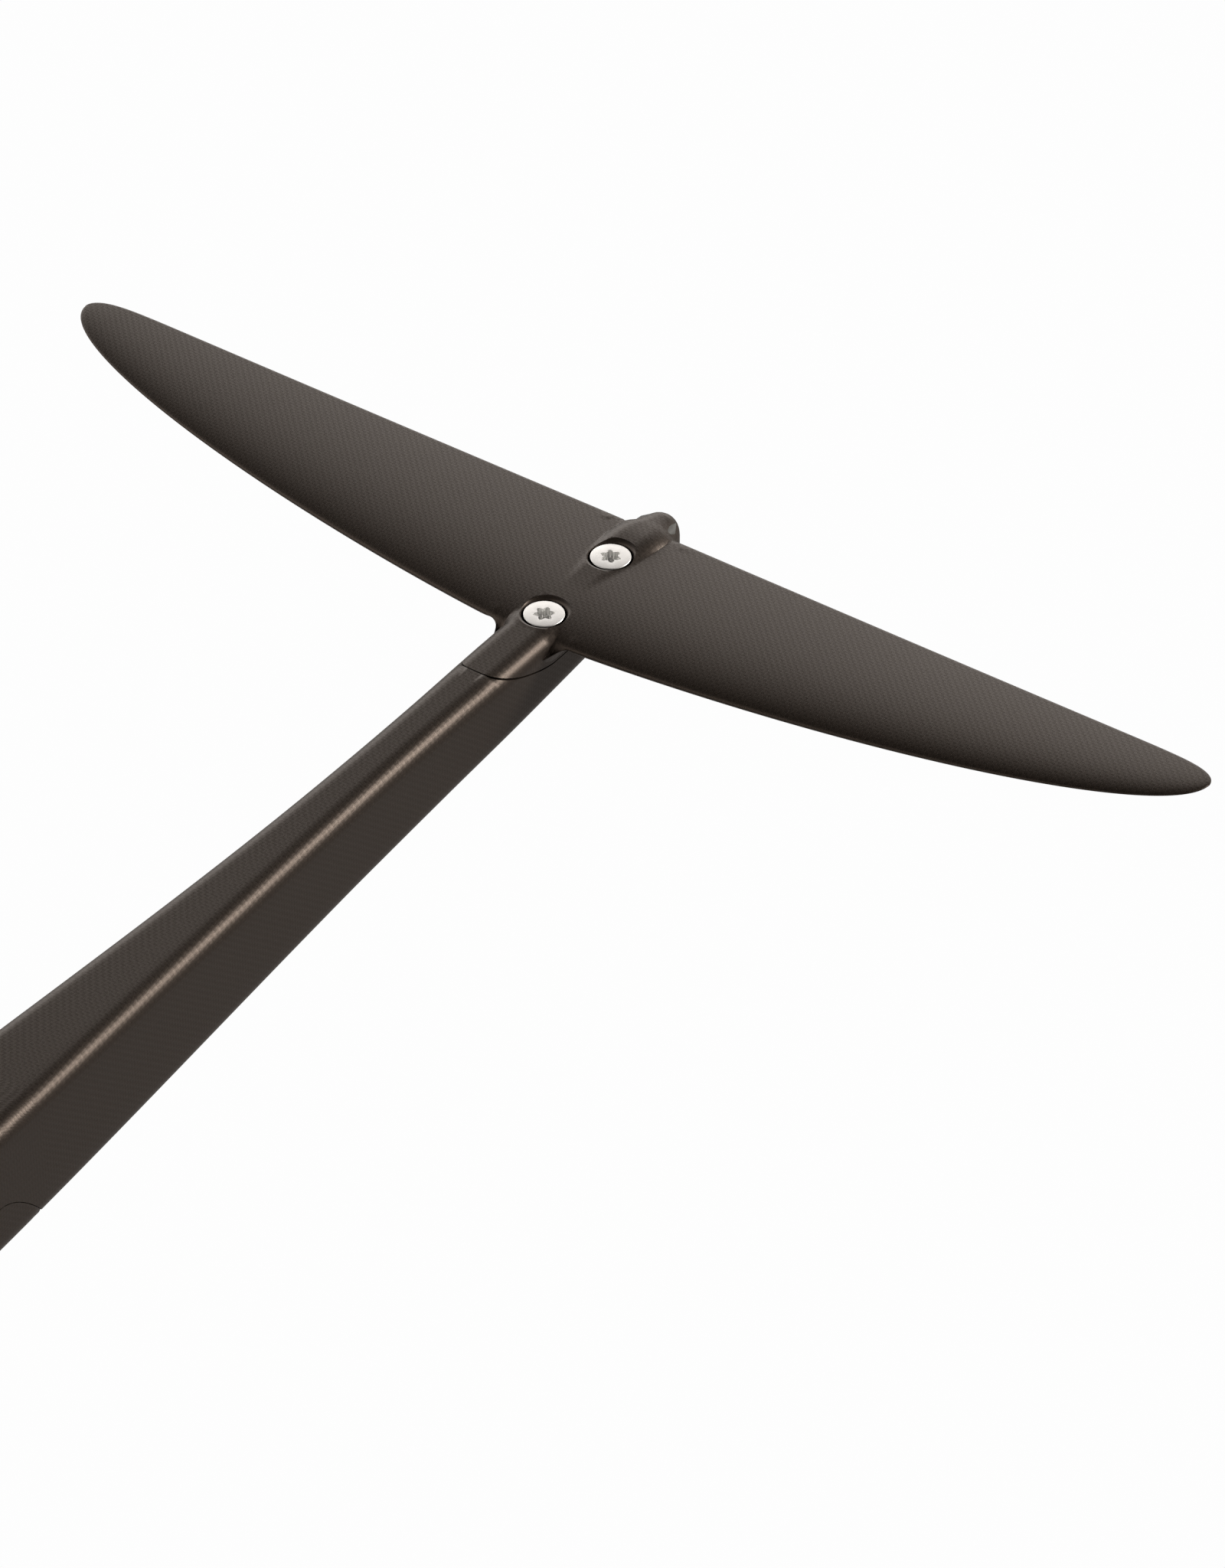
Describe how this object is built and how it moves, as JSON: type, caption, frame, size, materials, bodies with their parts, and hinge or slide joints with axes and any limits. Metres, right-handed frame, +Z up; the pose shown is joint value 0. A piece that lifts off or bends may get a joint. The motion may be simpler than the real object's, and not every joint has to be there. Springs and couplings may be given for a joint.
{
  "type": "hydrofoil",
  "caption": "Bolted carbon hydrofoil: a board plate on an upright mast, a slim fuselage, a front wing below it and a small rear stabiliser.",
  "frame": {"origin": "centre of the board plate's upper face, midway between its four bolt slots", "axes": "+X the way the foil travels, +Y to port along the span, +Z up out of the board plate towards the board"},
  "size_m": [0.594, 0.8756, 0.8081],
  "materials": {
    "carbon_skin": "satin matt carbon laminate with a fine woven outer ply",
    "solid_laminate": "pressed solid carbon laminate",
    "foam": "closed-cell structural foam",
    "screw_steel": "bright stainless, lightly satin",
    "insert_metal": "turned stainless",
    "plate_metal": "black anodised, fine blasted"
  },
  "bodies": {
    "root": {"board_plate": "plate_metal", "board_plate_screws": "screw_steel", "front_anchor_block": "solid_laminate", "front_thread_inserts": "insert_metal", "front_wing_core": "foam", "front_wing_lower_skin": "carbon_skin", "front_wing_root_block": "solid_laminate", "front_wing_screws": "screw_steel", "front_wing_spar": "solid_laminate", "front_wing_upper_skin": "carbon_skin", "fuselage_foam_core": "foam", "fuselage_port_shell": "carbon_skin", "fuselage_starboard_shell": "carbon_skin", "mast_core": "foam", "mast_foot_block": "plate_metal", "mast_foot_screws": "screw_steel", "mast_head_block": "plate_metal", "mast_port_skin": "carbon_skin", "mast_socket_block": "solid_laminate", "mast_starboard_skin": "carbon_skin", "stabiliser_core": "foam", "stabiliser_lower_skin": "carbon_skin", "stabiliser_root_block": "solid_laminate", "stabiliser_screws": "screw_steel", "stabiliser_upper_skin": "carbon_skin", "tail_anchor_block": "solid_laminate", "tail_thread_inserts": "insert_metal"}
  },
  "joints": []
}
